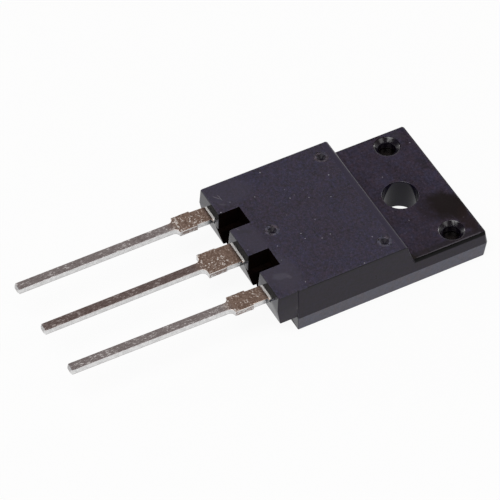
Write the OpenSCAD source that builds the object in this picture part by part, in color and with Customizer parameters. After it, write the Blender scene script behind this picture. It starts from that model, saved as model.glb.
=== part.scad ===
// Power transistor in a fully insulated moulded package with three straight leads.
// It lies on its back. X runs across the package, Y towards the tab, Z up.
// The origin is on the axis of the mounting hole, on the flat back face.

/* [Moulded body] */
// Overall width across the widest line of the sides
body_width = 15.5; // [15:0.1:17]
// Overall length from the lead end to the tab end
body_length = 22.1; // [21:0.1:25]
// Height of the thick part above the back face
body_height = 5.5; // [5.2:0.1:6.5]
// Distance from the mounting hole axis to the tab end
hole_to_tab_end = 5; // [4.6:0.1:6]
// Thickness of the tab
tab_thickness = 3.4; // [3.2:0.1:3.8]
// Length of the tab, from its end to the foot of the step
tab_length = 8; // [7.5:0.05:8.4]
// How far the wall of the step leans back, in degrees
step_slope = 17.5; // [5:0.5:25]
// Radius of the rounding along the top of the step
step_round_radius = 0.5; // [0.2:0.05:0.8]
// Height of the line where the mould halves meet along the sides
side_line_height = 1.8; // [1.4:0.1:2]
// How far each side leans in above that line
side_draft_above = 0.13; // [0.05:0.01:0.2]
// How far each side leans in below that line
side_draft_below = 0.17; // [0.05:0.01:0.3]
// How far the tab end leans in above that line, in degrees
tab_end_slope = 10.5; // [4:0.5:14]
// Radius of the rounding along the top of the tab end
tab_end_round_radius = 0.25; // [0.15:0.05:0.4]
// How far the tab end leans in below that line
tab_end_draft_below = 0.15; // [0.05:0.05:0.3]
// Radius of the two upright corners of the tab
tab_corner_radius = 0.3; // [0.2:0.05:0.8]
// Small bevel along the upper edges
edge_bevel = 0.1; // [0.05:0.01:0.2]

/* [Lead end] */
// How far the lead end overhangs the back plate
overhang_length = 2.1; // [1.6:0.1:2.6]
// How far the end face leans in above the lead plane
end_draft_above = 0.1; // [0.05:0.05:0.2]
// How far the end face leans in below the lead plane
end_draft_below = 0.35; // [0.1:0.05:0.5]
// How far the end of the back plate leans in
plate_end_draft = 0.1; // [0.05:0.05:0.2]
// Width of each slot between the teeth at the top face
slot_width = 2.2; // [1.8:0.1:2.4]
// Depth of each slot from the lead end
slot_depth = 2.2; // [1.5:0.1:2.3]
// Distance from the centre line to the middle of each slot
slot_offset = 2.9; // [2.8:0.05:3]
// How far each wall of the slot leans in above the lead plane
slot_draft_above = 0.15; // [0.05:0.05:0.3]
// Width of the lower half of the slot at the lead plane
slot_lower_width = 0.85; // [0.6:0.05:1.1]
// How far each wall of the lower half opens downwards
slot_draft_below = 0.15; // [0.05:0.05:0.2]
// How far the sides of the lower half of the end block lean in
end_side_draft = 0.12; // [0.05:0.01:0.2]
// Width of the fine line left on the sides by the mould insert
witness_width = 0.1; // [0.06:0.01:0.2]
// Depth of that line
witness_depth = 0.06; // [0.03:0.01:0.12]

/* [Mounting hole] */
// Diameter of the mounting hole, to pass an M3 screw
hole_diameter = 3.4; // [3.2:0.1:3.6]

/* [Holding pin recesses] */
// Distance of each recess axis from the widest line of its side
recess_side_margin = 1.7; // [1.65:0.05:2]
// Distance of the recesses from the hole axis along the part
recess_offset = 2; // [1.6:0.1:2.4]
// Diameter at the top face
recess_diameter = 2.5; // [2.2:0.1:2.8]
// Depth of the cone at the top
recess_cone_depth = 0.4; // [0.2:0.05:0.6]
// Diameter of the straight inner hole
recess_inner_diameter = 1.6; // [1.2:0.1:1.7]

/* [Ejector marks] */
// Diameter of the shallow ring of each mark
mark_ring_diameter = 1.35; // [1.1:0.05:1.6]
// Depth of the shallow ring
mark_ring_depth = 0.06; // [0.03:0.01:0.1]
// Diameter of the conical pit inside the ring
mark_pit_diameter = 0.85; // [0.6:0.05:1]
// Depth of the pit below the ring
mark_pit_depth = 0.3; // [0.2:0.05:0.4]
// Distance of the two marks beside the step from the widest line of their side
mark_side_margin = 1.75; // [1.4:0.05:3]
// Distance of these two marks from the foot of the step
mark_step_margin = 2.15; // [2:0.05:3]
// Distance of the single mark from the lead end
mark_end_margin = 3.55; // [3.2:0.05:5]

/* [Leads] */
// Distance between neighbouring leads
lead_pitch = 5.45; // [5.4:0.01:5.5]
// Thickness of the lead sheet
lead_thickness = 0.6; // [0.5:0.05:0.7]
// Height of the underside of the leads above the back face
lead_height = 3.75; // [3.6:0.05:3.9]
// Width of the thin outer part of each lead
lead_width = 0.9; // [0.7:0.05:1.2]
// Length of each lead outside the body
lead_length = 19.8; // [15:0.1:25]
// Width of the neck of the two outer leads at the body
outer_neck_width = 1.7; // [1.4:0.1:1.8]
// Width of the wide part of the two outer leads
outer_stub_width = 1.95; // [1.8:0.05:2.2]
// Width of the neck of the centre lead at the body
centre_neck_width = 2.45; // [2:0.05:2.5]
// Width of the wide part of the centre lead
centre_stub_width = 2.6; // [2.5:0.05:3]
// Length of the neck outside the body
neck_length = 1.75; // [1:0.05:2.5]
// Length of the wide part
stub_length = 1.85; // [1.4:0.05:2.5]
// Largest inner radius where the wide part becomes thin
stub_fillet = 0.5; // [0.2:0.05:0.8]
// Bevel on the edges of each lead tip
tip_bevel = 0.15; // [0.05:0.01:0.2]

/* [Frame inside the body] */
// Plastic beside the die pad, up to the widest line of the sides
pad_side_cover = 0.85; // [0.8:0.05:1]
// Thickness of the die pad
pad_thickness = 1.4; // [1.2:0.1:1.5]
// Plastic below the die pad
pad_cover = 0.9; // [0.6:0.1:1]
// Distance of the near edge of the pad from the hole axis
pad_hole_clearance = 3.4; // [3:0.1:3.8]
// Distance of the lead side edge of the pad from the body end
pad_end_margin = 3.9; // [3.6:0.1:4.4]
// Width of the two arms beside the mounting hole
arm_width = 2.3; // [2.3:0.1:2.6]
// Plastic between the arms and the tab end
arm_end_cover = 1.6; // [1.3:0.1:1.9]
// Inner corner radius between arm and pad
arm_fillet = 0.8; // [0.4:0.1:1]
// Inner radius of the two bends of the centre lead
strap_bend_radius = 0.4; // [0.3:0.05:0.5]
// Slope of the centre lead between its bends, in degrees
strap_slope = 50; // [45:1:55]
// Width of the bond posts of the two outer leads
post_width = 3.2; // [2.4:0.1:3.2]
// Length of the bond posts
post_length = 2.2; // [2:0.1:2.3]
// Distance from the slot floor line to the bond posts
post_setback = 0.3; // [0.2:0.05:0.4]

/* [Die and bond wires] */
// Side of the square silicon die, as a share of the pad length
die_share = 0.53; // [0.5:0.01:0.6]
// Distance of the die centre from the hole side edge of the pad, as a share of the pad length
die_place = 0.44; // [0.4:0.01:0.5]
// Thickness of the die
die_thickness = 0.28; // [0.2:0.02:0.4]
// Thickness of the solder under the die
solder_thickness = 0.06; // [0.04:0.01:0.1]
// How far the solder shows around the die
solder_margin = 0.15; // [0.05:0.05:0.3]
// Diameter of the base wire
base_wire_diameter = 0.25; // [0.2:0.01:0.3]
// Diameter of each emitter wire
emitter_wire_diameter = 0.38; // [0.3:0.01:0.4]
// Distance between the two emitter wires
emitter_wire_spacing = 1; // [0.8:0.05:1.2]
// Angle through which every wire bows, in degrees
wire_bow_angle = 68; // [60:1:76]
// Length of each flattened wire foot, in wire diameters
foot_length_ratio = 3.2; // [2.5:0.1:3.5]
// Width of each flattened wire foot, in wire diameters
foot_width_ratio = 1.4; // [1.2:0.1:1.6]
// Place of the base bond across the die, as a share of its side
base_bond_across = 0.33; // [0.3:0.01:0.36]
// Place of the base bond along the die, as a share of its side
base_bond_along = 0.2; // [0.1:0.01:0.3]
// Place of the emitter bonds across the die, as a share of its side
emitter_bond_across = 0.25; // [0.2:0.01:0.28]
// Place of the emitter bonds along the die, as a share of its side
emitter_bond_along = 0.12; // [0.05:0.01:0.2]
// Place of the bonds along each post, as a share of its length
post_bond_share = 0.55; // [0.5:0.05:0.6]

/* [Hidden] */
$fn = 48;
// How far a cut reaches past what it cuts
spare = 1;
// How far shapes that become one piece run into each other
lap = 0.4;

resin_colour = [0.16, 0.15, 0.17];
tin_colour = [0.72, 0.7, 0.67];
solder_colour = [0.6, 0.6, 0.62];
silicon_colour = [0.35, 0.37, 0.42];
aluminium_colour = [0.82, 0.83, 0.85];

half_width = body_width / 2;
tab_end_y = hole_to_tab_end;
lead_end_y = hole_to_tab_end - body_length;
block_y = lead_end_y + overhang_length;
step_foot_y = hole_to_tab_end - tab_length;
lead_top_z = lead_height + lead_thickness;
draft_slope = side_draft_above / (body_height - side_line_height);
pad_width = body_width - 2 * pad_side_cover;
pad_top_z = pad_cover + pad_thickness;
pad_lead_y = lead_end_y + pad_end_margin;
pad_edge_y = -pad_hole_clearance;
pad_length = pad_edge_y - pad_lead_y;
die_size = die_share * pad_length;
die_y = pad_edge_y - die_place * pad_length;
die_bottom_z = pad_top_z + solder_thickness;
die_top_z = die_bottom_z + die_thickness;
post_y = block_y + post_setback;
outer_post_end_y = post_y + post_length;

// Half width of the moulded body at a height above the side line
function side_x(z) = half_width - draft_slope * (z - side_line_height);

// Distance, across its foot, that a leaning wall with a rounding on top takes up
function wall_run(rise, radius, slope) = (radius + (rise - radius) * sin(slope)) / cos(slope);

// Turns a shape drawn across the part so that it runs along Y from y0 to y1
module along_y(y0, y1) {
    translate([0, y1, 0])
        rotate([90, 0, 0])
            linear_extrude(height = y1 - y0)
                children();
}

// Turns a shape drawn as (y, z) so that it runs along X, centred on the middle plane
module along_x(width) {
    translate([-width / 2, 0, 0])
        rotate([90, 0, 90])
            linear_extrude(height = width)
                children();
}

// Cross section of the moulding up to a given height
module side_section(top_z) {
    polygon([
        [-half_width + side_draft_below, 0],
        [half_width - side_draft_below, 0],
        [half_width, side_line_height],
        [side_x(top_z - edge_bevel), top_z - edge_bevel],
        [side_x(top_z - edge_bevel) - edge_bevel, top_z],
        [-side_x(top_z - edge_bevel) + edge_bevel, top_z],
        [-side_x(top_z - edge_bevel), top_z - edge_bevel],
        [-half_width, side_line_height]
    ]);
}

// Area under a flat top that ends in a rounding and a leaning wall, as (y, z)
module rounded_end(start_y, foot_y, foot_z, top_z, radius, slope) {
    centre_y = foot_y - wall_run(top_z - foot_z, radius, slope);
    centre_z = top_z - radius;
    union() {
        polygon([
            [start_y, foot_z],
            [foot_y, foot_z],
            [centre_y + radius * cos(slope), centre_z + radius * sin(slope)],
            [centre_y, top_z],
            [start_y, top_z]
        ]);
        translate([centre_y, centre_z])
            circle(r = radius);
    }
}

// Thick part with the slanted step towards the tab
module thick_block() {
    intersection() {
        along_y(block_y - spare, tab_end_y)
            side_section(body_height);
        along_x(body_width + 2 * spare)
            union() {
                polygon([
                    [block_y + plate_end_draft, 0],
                    [step_foot_y, 0],
                    [step_foot_y, tab_thickness],
                    [block_y, tab_thickness],
                    [block_y, side_line_height]
                ]);
                rounded_end(block_y, step_foot_y, tab_thickness, body_height, step_round_radius, step_slope);
            }
    }
}

// Tab with leaning end and rounded corners
module tab_block() {
    start_y = step_foot_y - spare;
    difference() {
        intersection() {
            along_y(start_y - spare, tab_end_y + spare)
                side_section(tab_thickness);
            along_x(body_width + 2 * spare)
                union() {
                    polygon([
                        [start_y, 0],
                        [tab_end_y - tab_end_draft_below, 0],
                        [tab_end_y, side_line_height],
                        [start_y, side_line_height]
                    ]);
                    rounded_end(start_y, tab_end_y, side_line_height, tab_thickness, tab_end_round_radius,
                                tab_end_slope);
                }
        }
        for (side = [0, 1])
            mirror([side, 0, 0]) {
                tab_corner_cutter(1);
                tab_corner_cutter(-1);
            }
    }
}

// Rounds one upright tab corner, above (way 1) or below (way -1) the side line
module tab_corner_cutter(way) {
    rise = way > 0 ? tab_thickness - side_line_height : side_line_height;
    tilt_x = way > 0 ? atan(draft_slope) : atan(side_draft_below / rise);
    tilt_y = way > 0 ? tab_end_slope : atan(tab_end_draft_below / rise);
    r = tab_corner_radius;
    // the round stands a hair outside both faces and crosses the side line a little
    outset = 0.005;
    overrun = 0.02;
    bottom_z = way > 0 ? -overrun : -rise - spare;
    translate([half_width, tab_end_y, side_line_height])
        rotate([way * tilt_y, -way * tilt_x, 0])
            translate([outset - r, outset - r, bottom_z])
                difference() {
                    cube([r + spare, r + spare, rise + spare + overrun]);
                    translate([0, 0, -spare])
                        cylinder(r = r, h = rise + 3 * spare);
                }
}

// Overhanging block that holds the leads
module end_block() {
    end_top_y = lead_end_y + end_draft_above;
    intersection() {
        along_y(lead_end_y - spare, block_y + spare)
            polygon([
                [-side_x(lead_height) + end_side_draft, side_line_height],
                [side_x(lead_height) - end_side_draft, side_line_height],
                [side_x(lead_height), lead_height],
                [side_x(body_height - edge_bevel), body_height - edge_bevel],
                [side_x(body_height - edge_bevel) - edge_bevel, body_height],
                [-side_x(body_height - edge_bevel) + edge_bevel, body_height],
                [-side_x(body_height - edge_bevel), body_height - edge_bevel],
                [-side_x(lead_height), lead_height]
            ]);
        along_x(body_width + 2 * spare)
            polygon([
                [lead_end_y + end_draft_below, side_line_height],
                [block_y + spare, side_line_height],
                [block_y + spare, body_height],
                [end_top_y + edge_bevel, body_height],
                [end_top_y, body_height - edge_bevel],
                [lead_end_y, lead_height]
            ]);
    }
}

// Slot between two teeth, wide above the lead plane and narrow below it
module slot_cutter() {
    above = slot_width / 2;
    lower = slot_lower_width / 2;
    // the cut is carried on past the top face with the same slope
    top_z = body_height + spare;
    lean = slot_draft_above / (body_height - lead_height);
    bottom_z = side_line_height;
    lower_lean = slot_draft_below / (lead_height - side_line_height);
    along_y(lead_end_y - spare, lead_end_y + slot_depth)
        translate([slot_offset, 0])
            polygon([
                [-above - lean * spare, top_z],
                [-above + slot_draft_above, lead_height],
                [-lower, lead_height],
                [-lower - lower_lean * (lead_height - bottom_z), bottom_z],
                [lower + lower_lean * (lead_height - bottom_z), bottom_z],
                [lower, lead_height],
                [above - slot_draft_above, lead_height],
                [above + lean * spare, top_z]
            ]);
}

// Fine line on both sides where the mould insert met the main cavity
module witness_line_cutter() {
    for (side = [0, 1])
        mirror([side, 0, 0])
            along_y(block_y - witness_width / 2, block_y + witness_width / 2)
                polygon([
                    [side_x(side_line_height) - witness_depth, side_line_height],
                    [side_x(side_line_height) + spare, side_line_height],
                    [side_x(body_height) + spare, body_height + spare],
                    [side_x(body_height + spare) - witness_depth, body_height + spare]
                ]);
}

// Recess left by a pin that held the frame in the mould
module pin_recess_cutter() {
    cone_bottom_z = tab_thickness - recess_cone_depth;
    translate([half_width - recess_side_margin, recess_offset, 0])
        rotate_extrude()
            polygon([
                [0, pad_top_z],
                [recess_inner_diameter / 2, pad_top_z],
                [recess_inner_diameter / 2, cone_bottom_z],
                [recess_diameter / 2, tab_thickness],
                [recess_diameter / 2, tab_thickness + spare],
                [0, tab_thickness + spare]
            ]);
}

// Round mark with a small conical pit, left by an ejector pin
module ejector_mark_cutter() {
    ring_z = body_height - mark_ring_depth;
    rotate_extrude()
        polygon([
            [0, ring_z - mark_pit_depth],
            [mark_pit_diameter / 2, ring_z],
            [mark_ring_diameter / 2, ring_z],
            [mark_ring_diameter / 2, body_height + spare],
            [0, body_height + spare]
        ]);
}

// Everything the mould forms, still without room for the metal inside
module moulding_outside() {
    difference() {
        union() {
            thick_block();
            tab_block();
            end_block();
        }
        witness_line_cutter();
        translate([0, 0, -spare])
            cylinder(d = hole_diameter, h = tab_thickness + 2 * spare);
        for (side = [0, 1])
            mirror([side, 0, 0]) {
                slot_cutter();
                pin_recess_cutter();
                translate([half_width - mark_side_margin, step_foot_y - mark_step_margin, 0])
                    ejector_mark_cutter();
            }
        translate([0, lead_end_y + mark_end_margin, 0])
            ejector_mark_cutter();
    }
}

// Plastic moulding, cast around the frame, the die and the wires
module moulded_body() {
    color(resin_colour)
        difference() {
            moulding_outside();
            collector_shape();
            outer_lead_shape(-1);
            outer_lead_shape(1);
            solder_shape();
            die_shape();
            base_wire_shape();
            emitter_wire_shape(-1);
            emitter_wire_shape(1);
        }
}

// Outline of one lead outside the body, drawn from the body end downwards
module lead_outline(neck_width, stub_width, inside_y) {
    stub_y = lead_end_y - neck_length;
    thin_y = stub_y - stub_length;
    tip_y = lead_end_y - lead_length;
    fillet = min(stub_fillet, (stub_width - lead_width) / 2);
    union() {
        translate([-neck_width / 2, stub_y - lap])
            square([neck_width, inside_y - stub_y + lap]);
        translate([-stub_width / 2, thin_y])
            square([stub_width, stub_length]);
        polygon([
            [-lead_width / 2, stub_y],
            [-lead_width / 2, tip_y + tip_bevel],
            [-lead_width / 2 + tip_bevel, tip_y],
            [lead_width / 2 - tip_bevel, tip_y],
            [lead_width / 2, tip_y + tip_bevel],
            [lead_width / 2, stub_y]
        ]);
        for (side = [0, 1])
            mirror([side, 0])
                translate([lead_width / 2, thin_y - fillet])
                    difference() {
                        translate([-lap / 2, 0])
                            square([fillet + lap / 2, fillet + lap]);
                        translate([fillet, 0])
                            circle(r = fillet);
                    }
    }
}

// Side view of a lead as (y, z), with the upper and lower edges of its tip bevelled
module lead_side_profile(inside_y) {
    tip_y = lead_end_y - lead_length;
    polygon([
        [tip_y, lead_height + tip_bevel],
        [tip_y + tip_bevel, lead_height],
        [inside_y, lead_height],
        [inside_y, lead_top_z],
        [tip_y + tip_bevel, lead_top_z],
        [tip_y, lead_top_z - tip_bevel]
    ]);
}

// One of the two outer leads with its bond post inside the body
module outer_lead_shape(way) {
    translate([way * lead_pitch, 0, 0])
        intersection() {
            translate([0, 0, lead_height])
                linear_extrude(height = lead_thickness)
                    union() {
                        lead_outline(outer_neck_width, outer_stub_width, post_y + spare);
                        translate([-post_width / 2, post_y])
                            square([post_width, post_length]);
                    }
            along_x(post_width + 2 * spare)
                lead_side_profile(outer_post_end_y + spare);
        }
}

// Sheet bent through an angle around a point, drawn as (y, z)
module bend_section(angle_from, angle_to) {
    outer = strap_bend_radius + lead_thickness;
    // far enough for the straight edges to pass outside the arc
    reach = 2 * outer;
    intersection() {
        difference() {
            circle(r = outer);
            circle(r = strap_bend_radius);
        }
        polygon([
            [0, 0],
            [reach * cos(angle_from), reach * sin(angle_from)],
            [reach * cos((angle_from + angle_to) / 2), reach * sin((angle_from + angle_to) / 2)],
            [reach * cos(angle_to), reach * sin(angle_to)]
        ]);
    }
}

// Side view of the centre lead where it bends down to the die pad, as (y, z)
module strap_section() {
    inner = strap_bend_radius;
    outer = inner + lead_thickness;
    mid = inner + lead_thickness / 2;
    // the sheet drops from the lead plane until its top lies level with the pad
    drop = lead_top_z - pad_top_z;
    slope_rise = drop - 2 * mid * (1 - cos(strap_slope));
    slope_run = slope_rise / tan(strap_slope);
    bend_y = pad_lead_y - slope_run - 2 * mid * sin(strap_slope);
    high_centre_z = lead_height - inner;
    low_centre_z = pad_top_z + inner;
    union() {
        translate([lead_end_y, lead_height])
            square([bend_y - lead_end_y, lead_thickness]);
        translate([bend_y, high_centre_z])
            bend_section(90 - strap_slope, 90);
        polygon([
            [bend_y + inner * sin(strap_slope), high_centre_z + inner * cos(strap_slope)],
            [bend_y + outer * sin(strap_slope), high_centre_z + outer * cos(strap_slope)],
            [pad_lead_y - inner * sin(strap_slope), low_centre_z - inner * cos(strap_slope)],
            [pad_lead_y - outer * sin(strap_slope), low_centre_z - outer * cos(strap_slope)]
        ]);
        translate([pad_lead_y, low_centre_z])
            bend_section(270 - strap_slope, 270);
        translate([pad_lead_y, pad_top_z - lead_thickness])
            square([lap, lead_thickness]);
    }
}

// Plan of the die pad with the two arms beside the mounting hole
module pad_outline() {
    inner_x = pad_width / 2 - arm_width;
    arm_end_y = tab_end_y - arm_end_cover;
    union() {
        translate([-pad_width / 2, pad_lead_y])
            square([pad_width, pad_length]);
        for (side = [0, 1])
            mirror([side, 0]) {
                translate([inner_x, pad_edge_y - lap])
                    square([arm_width, arm_end_y - pad_edge_y + lap]);
                translate([inner_x - arm_fillet, pad_edge_y])
                    difference() {
                        translate([0, -lap])
                            square([arm_fillet + lap, arm_fillet + lap]);
                        translate([0, arm_fillet])
                            circle(r = arm_fillet);
                    }
            }
    }
}

// Thick die pad and centre lead, one piece of copper
module collector_shape() {
    union() {
        translate([0, 0, pad_cover])
            linear_extrude(height = pad_thickness)
                pad_outline();
        along_x(centre_neck_width)
            strap_section();
        intersection() {
            translate([0, 0, lead_height])
                linear_extrude(height = lead_thickness)
                    lead_outline(centre_neck_width, centre_stub_width, lead_end_y + lap);
            along_x(centre_stub_width + 2 * spare)
                lead_side_profile(lead_end_y + spare);
        }
    }
}

// Solder layer between pad and die
module solder_shape() {
    side = die_size + 2 * solder_margin;
    translate([-side / 2, die_y - side / 2, pad_top_z])
        cube([side, side, solder_thickness]);
}

// Square silicon die
module die_shape() {
    translate([-die_size / 2, die_y - die_size / 2, die_bottom_z])
        cube([die_size, die_size, die_thickness]);
}

// Round wire bowed between the die and a bond post, with a flat foot at each end
module bond_wire(from_x, from_y, to_x, to_y, wire) {
    span = sqrt(pow(to_x - from_x, 2) + pow(to_y - from_y, 2));
    rise = lead_top_z - die_top_z;
    chord = sqrt(span * span + rise * rise);
    tilt = atan2(rise, span);
    half_angle = wire_bow_angle / 2;
    loop_radius = chord / 2 / sin(half_angle);
    foot_length = foot_length_ratio * wire;
    foot_width = foot_width_ratio * wire;
    translate([from_x, from_y, die_top_z])
        rotate([0, 0, atan2(to_y - from_y, to_x - from_x)])
            union() {
                translate([0, 0, wire / 2])
                    rotate([90, -tilt, 0])
                        translate([chord / 2, -loop_radius * cos(half_angle), 0])
                            rotate([0, 0, 90 - half_angle])
                                rotate_extrude(angle = 2 * half_angle)
                                    translate([loop_radius, 0])
                                        circle(d = wire);
                for (place = [[0, 0], [span, rise]])
                    translate([place[0] - foot_length / 2, -foot_width / 2, place[1]])
                        cube([foot_length, foot_width, wire]);
            }
}

// Thin wire from the die to the base post
module base_wire_shape() {
    bond_wire(-die_size * base_bond_across, die_y - die_size * base_bond_along,
              -lead_pitch, post_y + post_length * post_bond_share, base_wire_diameter);
}

// One of the two thicker wires from the die to the emitter post
module emitter_wire_shape(way) {
    shift = way * emitter_wire_spacing / 2;
    bond_wire(die_size * emitter_bond_across + shift, die_y - die_size * emitter_bond_along,
              lead_pitch + shift, post_y + post_length * post_bond_share, emitter_wire_diameter);
}

module collector_frame() {
    color(tin_colour)
        collector_shape();
}

module base_lead() {
    color(tin_colour)
        outer_lead_shape(-1);
}

module emitter_lead() {
    color(tin_colour)
        outer_lead_shape(1);
}

module die_solder() {
    color(solder_colour)
        solder_shape();
}

module silicon_die() {
    color(silicon_colour)
        die_shape();
}

module base_wire() {
    color(aluminium_colour)
        base_wire_shape();
}

module emitter_wire_inner() {
    color(aluminium_colour)
        emitter_wire_shape(-1);
}

module emitter_wire_outer() {
    color(aluminium_colour)
        emitter_wire_shape(1);
}

moulded_body();
collector_frame();
base_lead();
emitter_lead();
die_solder();
silicon_die();
base_wire();
emitter_wire_inner();
emitter_wire_outer();
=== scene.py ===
"""Looks of a power transistor in a fully insulated moulded package.

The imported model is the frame: the moulding and the three leads are finer copies of its nodes, and the chip,
its solder and its wires inside keep their own meshes. Lengths in the classes are millimetres, apart from
those of the lamps, which are metres.
"""

import logging
import math
from dataclasses import dataclass, field, replace
from enum import Enum
from typing import Callable, Union

import bmesh
import bpy
from mathutils import Matrix, Vector


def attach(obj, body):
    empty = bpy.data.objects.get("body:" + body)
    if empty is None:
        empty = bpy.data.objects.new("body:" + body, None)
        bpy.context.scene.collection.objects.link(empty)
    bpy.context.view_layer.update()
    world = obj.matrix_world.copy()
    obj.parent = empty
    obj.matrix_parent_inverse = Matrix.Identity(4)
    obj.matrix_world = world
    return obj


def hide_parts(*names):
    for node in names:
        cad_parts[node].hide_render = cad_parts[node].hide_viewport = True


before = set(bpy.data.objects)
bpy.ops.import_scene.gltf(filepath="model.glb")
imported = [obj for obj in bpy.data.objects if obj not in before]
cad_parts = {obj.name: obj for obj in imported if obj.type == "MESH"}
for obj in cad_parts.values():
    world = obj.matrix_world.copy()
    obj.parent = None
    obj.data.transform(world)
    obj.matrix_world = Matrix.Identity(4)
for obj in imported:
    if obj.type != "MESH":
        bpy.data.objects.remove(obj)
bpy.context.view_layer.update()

LOG = logging.getLogger("power_transistor")
MM = 0.001
BODY = "root"

Colour = tuple[float, float, float]
Range = tuple[float, float]
BLACK: Colour = (0.0, 0.0, 0.0)
WHITE: Colour = (1.0, 1.0, 1.0)


class Signal:
    """A socket of a node tree that takes part in arithmetic."""

    def __init__(self, graph: "Graph", socket: bpy.types.NodeSocket) -> None:
        """Keeps the tree and its socket together."""
        self.graph = graph
        self.socket = socket

    def _math(self, operation: str, *values: "Number") -> "Signal":
        """Adds one Math node with these values and gives its result."""
        return self.graph.take("ShaderNodeMath", {"operation": operation}, dict(enumerate(values)))

    def __add__(self, other: "Number") -> "Signal":
        """Sum."""
        return self._math("ADD", self, other)

    def __radd__(self, other: "Number") -> "Signal":
        """Sum, reflected."""
        return self._math("ADD", other, self)

    def __sub__(self, other: "Number") -> "Signal":
        """Difference."""
        return self._math("SUBTRACT", self, other)

    def __rsub__(self, other: "Number") -> "Signal":
        """Difference, reflected."""
        return self._math("SUBTRACT", other, self)

    def __mul__(self, other: "Number") -> "Signal":
        """Product."""
        return self._math("MULTIPLY", self, other)

    def __rmul__(self, other: "Number") -> "Signal":
        """Product, reflected."""
        return self._math("MULTIPLY", other, self)

    def __truediv__(self, other: "Number") -> "Signal":
        """Quotient."""
        return self._math("DIVIDE", self, other)

    def __abs__(self) -> "Signal":
        """Size without sign."""
        return self._math("ABSOLUTE", self)

    def larger(self, other: "Number") -> "Signal":
        """The larger of the two."""
        return self._math("MAXIMUM", self, other)

    def rise(self, low: float, high: float) -> "Signal":
        """A soft step.

        Args:
            low: value where the step starts, with result 0.
            high: value where it ends, with result 1; it may be below low, and then the step falls.

        Returns:
            A signal from 0 to 1.
        """
        if low > high:
            return 1.0 - self.rise(high, low)
        sockets = {"Value": self, "From Min": low, "From Max": high, "To Min": 0.0, "To Max": 1.0}
        return self.graph.take("ShaderNodeMapRange", {"interpolation_type": "SMOOTHSTEP"}, sockets)

    def within(self, low: float, high: float, soft: float) -> "Signal":
        """A soft band.

        Args:
            low: start of the band.
            high: end of the band.
            soft: width over which each end fades.

        Returns:
            A signal that is 1 inside and 0 outside.
        """
        return self.rise(low - soft, low) * self.rise(high + soft, high)


Number = Union[Signal, float]


class Graph:
    """A node tree that is written as expressions."""

    def __init__(self, tree: bpy.types.NodeTree) -> None:
        """Starts with an empty tree."""
        self.tree = tree
        tree.nodes.clear()

    def node(self, kind: str, settings: dict | None = None, sockets: dict | None = None) -> bpy.types.Node:
        """Adds one node.

        Args:
            kind: the node's type.
            settings: its properties, set before its sockets.
            sockets: values or signals by socket name or number.

        Returns:
            The node.
        """
        node = self.tree.nodes.new(kind)
        for key, value in (settings or {}).items():
            setattr(node, key, value)
        for key, value in (sockets or {}).items():
            socket = node.inputs[key]
            if isinstance(value, Signal):
                self.tree.links.new(value.socket, socket)
            elif isinstance(value, tuple) and len(value) == 3 and socket.type == "RGBA":
                socket.default_value = (*value, 1.0)
            else:
                socket.default_value = value
        return node

    def take(self, kind: str, settings: dict | None = None, sockets: dict | None = None,
             output: int | str = 0) -> Signal:
        """Adds one node and gives one of its outputs.

        Args:
            kind: the node's type.
            settings: its properties.
            sockets: values or signals by socket name or number.
            output: name or number of the output.

        Returns:
            That output as a signal.
        """
        return Signal(self, self.node(kind, settings, sockets).outputs[output])

    def blend(self, mask: Number, low: Union[Signal, Colour], high: Union[Signal, Colour]) -> Signal:
        """Mixes two colours.

        Args:
            mask: 0 for the first colour, 1 for the second.
            low: colour at 0.
            high: colour at 1.

        Returns:
            The mixed colour.
        """
        return self.take("ShaderNodeMix", {"data_type": "RGBA"}, {0: mask, 6: low, 7: high}, 2)

    def noise(self, place: Signal, grain: float, detail: float = 2.0, stretch: Colour = (1, 1, 1)) -> Signal:
        """Cloudy noise.

        Args:
            place: coordinates in millimetres.
            grain: size of a cloud in millimetres.
            detail: number of finer layers.
            stretch: how much longer the clouds are along each axis.

        Returns:
            A signal around 0.5.
        """
        scale = tuple(1.0 / (grain * s) for s in stretch)
        moved = self.take("ShaderNodeMapping", {}, {"Vector": place, "Scale": scale})
        return self.take("ShaderNodeTexNoise", {}, {"Vector": moved, "Scale": 1.0, "Detail": detail})

    def specks(self, place: Signal, spacing: float, size: float, share: float) -> Signal:
        """Small round dots scattered over a surface.

        Args:
            place: coordinates in millimetres.
            spacing: usual distance between two cells.
            size: largest radius of a dot.
            share: share of the cells that hold a dot.

        Returns:
            A signal that is 1 in the dots.
        """
        settings = {"feature": "F1", "voronoi_dimensions": "2D"}
        drift = self.node("ShaderNodeTexNoise", {}, {"Vector": place, "Scale": 0.15 / spacing, "Detail": 0.0})
        moved = {0: Signal(self, drift.outputs["Color"]), 1: (spacing * 2.5,) * 3, 2: place}
        moved = self.take("ShaderNodeVectorMath", {"operation": "MULTIPLY_ADD"}, moved)
        cells = self.node("ShaderNodeTexVoronoi", settings, {"Vector": moved, "Scale": 1.0 / spacing})
        distance = Signal(self, cells.outputs["Distance"])
        pick = self.take("ShaderNodeSeparateColor", {}, {0: Signal(self, cells.outputs["Color"])})
        reach = size / spacing
        chosen = pick.rise(1.0 - share, 1.0 - share * 0.4)
        return chosen * distance.rise(reach, reach * 0.35)

    def bump(self, height: Signal, depth: float) -> Signal:
        """Turns a height into a normal.

        Args:
            height: signal from 0 to 1.
            depth: real height of 1 in millimetres.

        Returns:
            The normal.
        """
        return self.take("ShaderNodeBump", {}, {"Strength": 1.0, "Distance": depth * MM, "Height": height})


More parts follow.
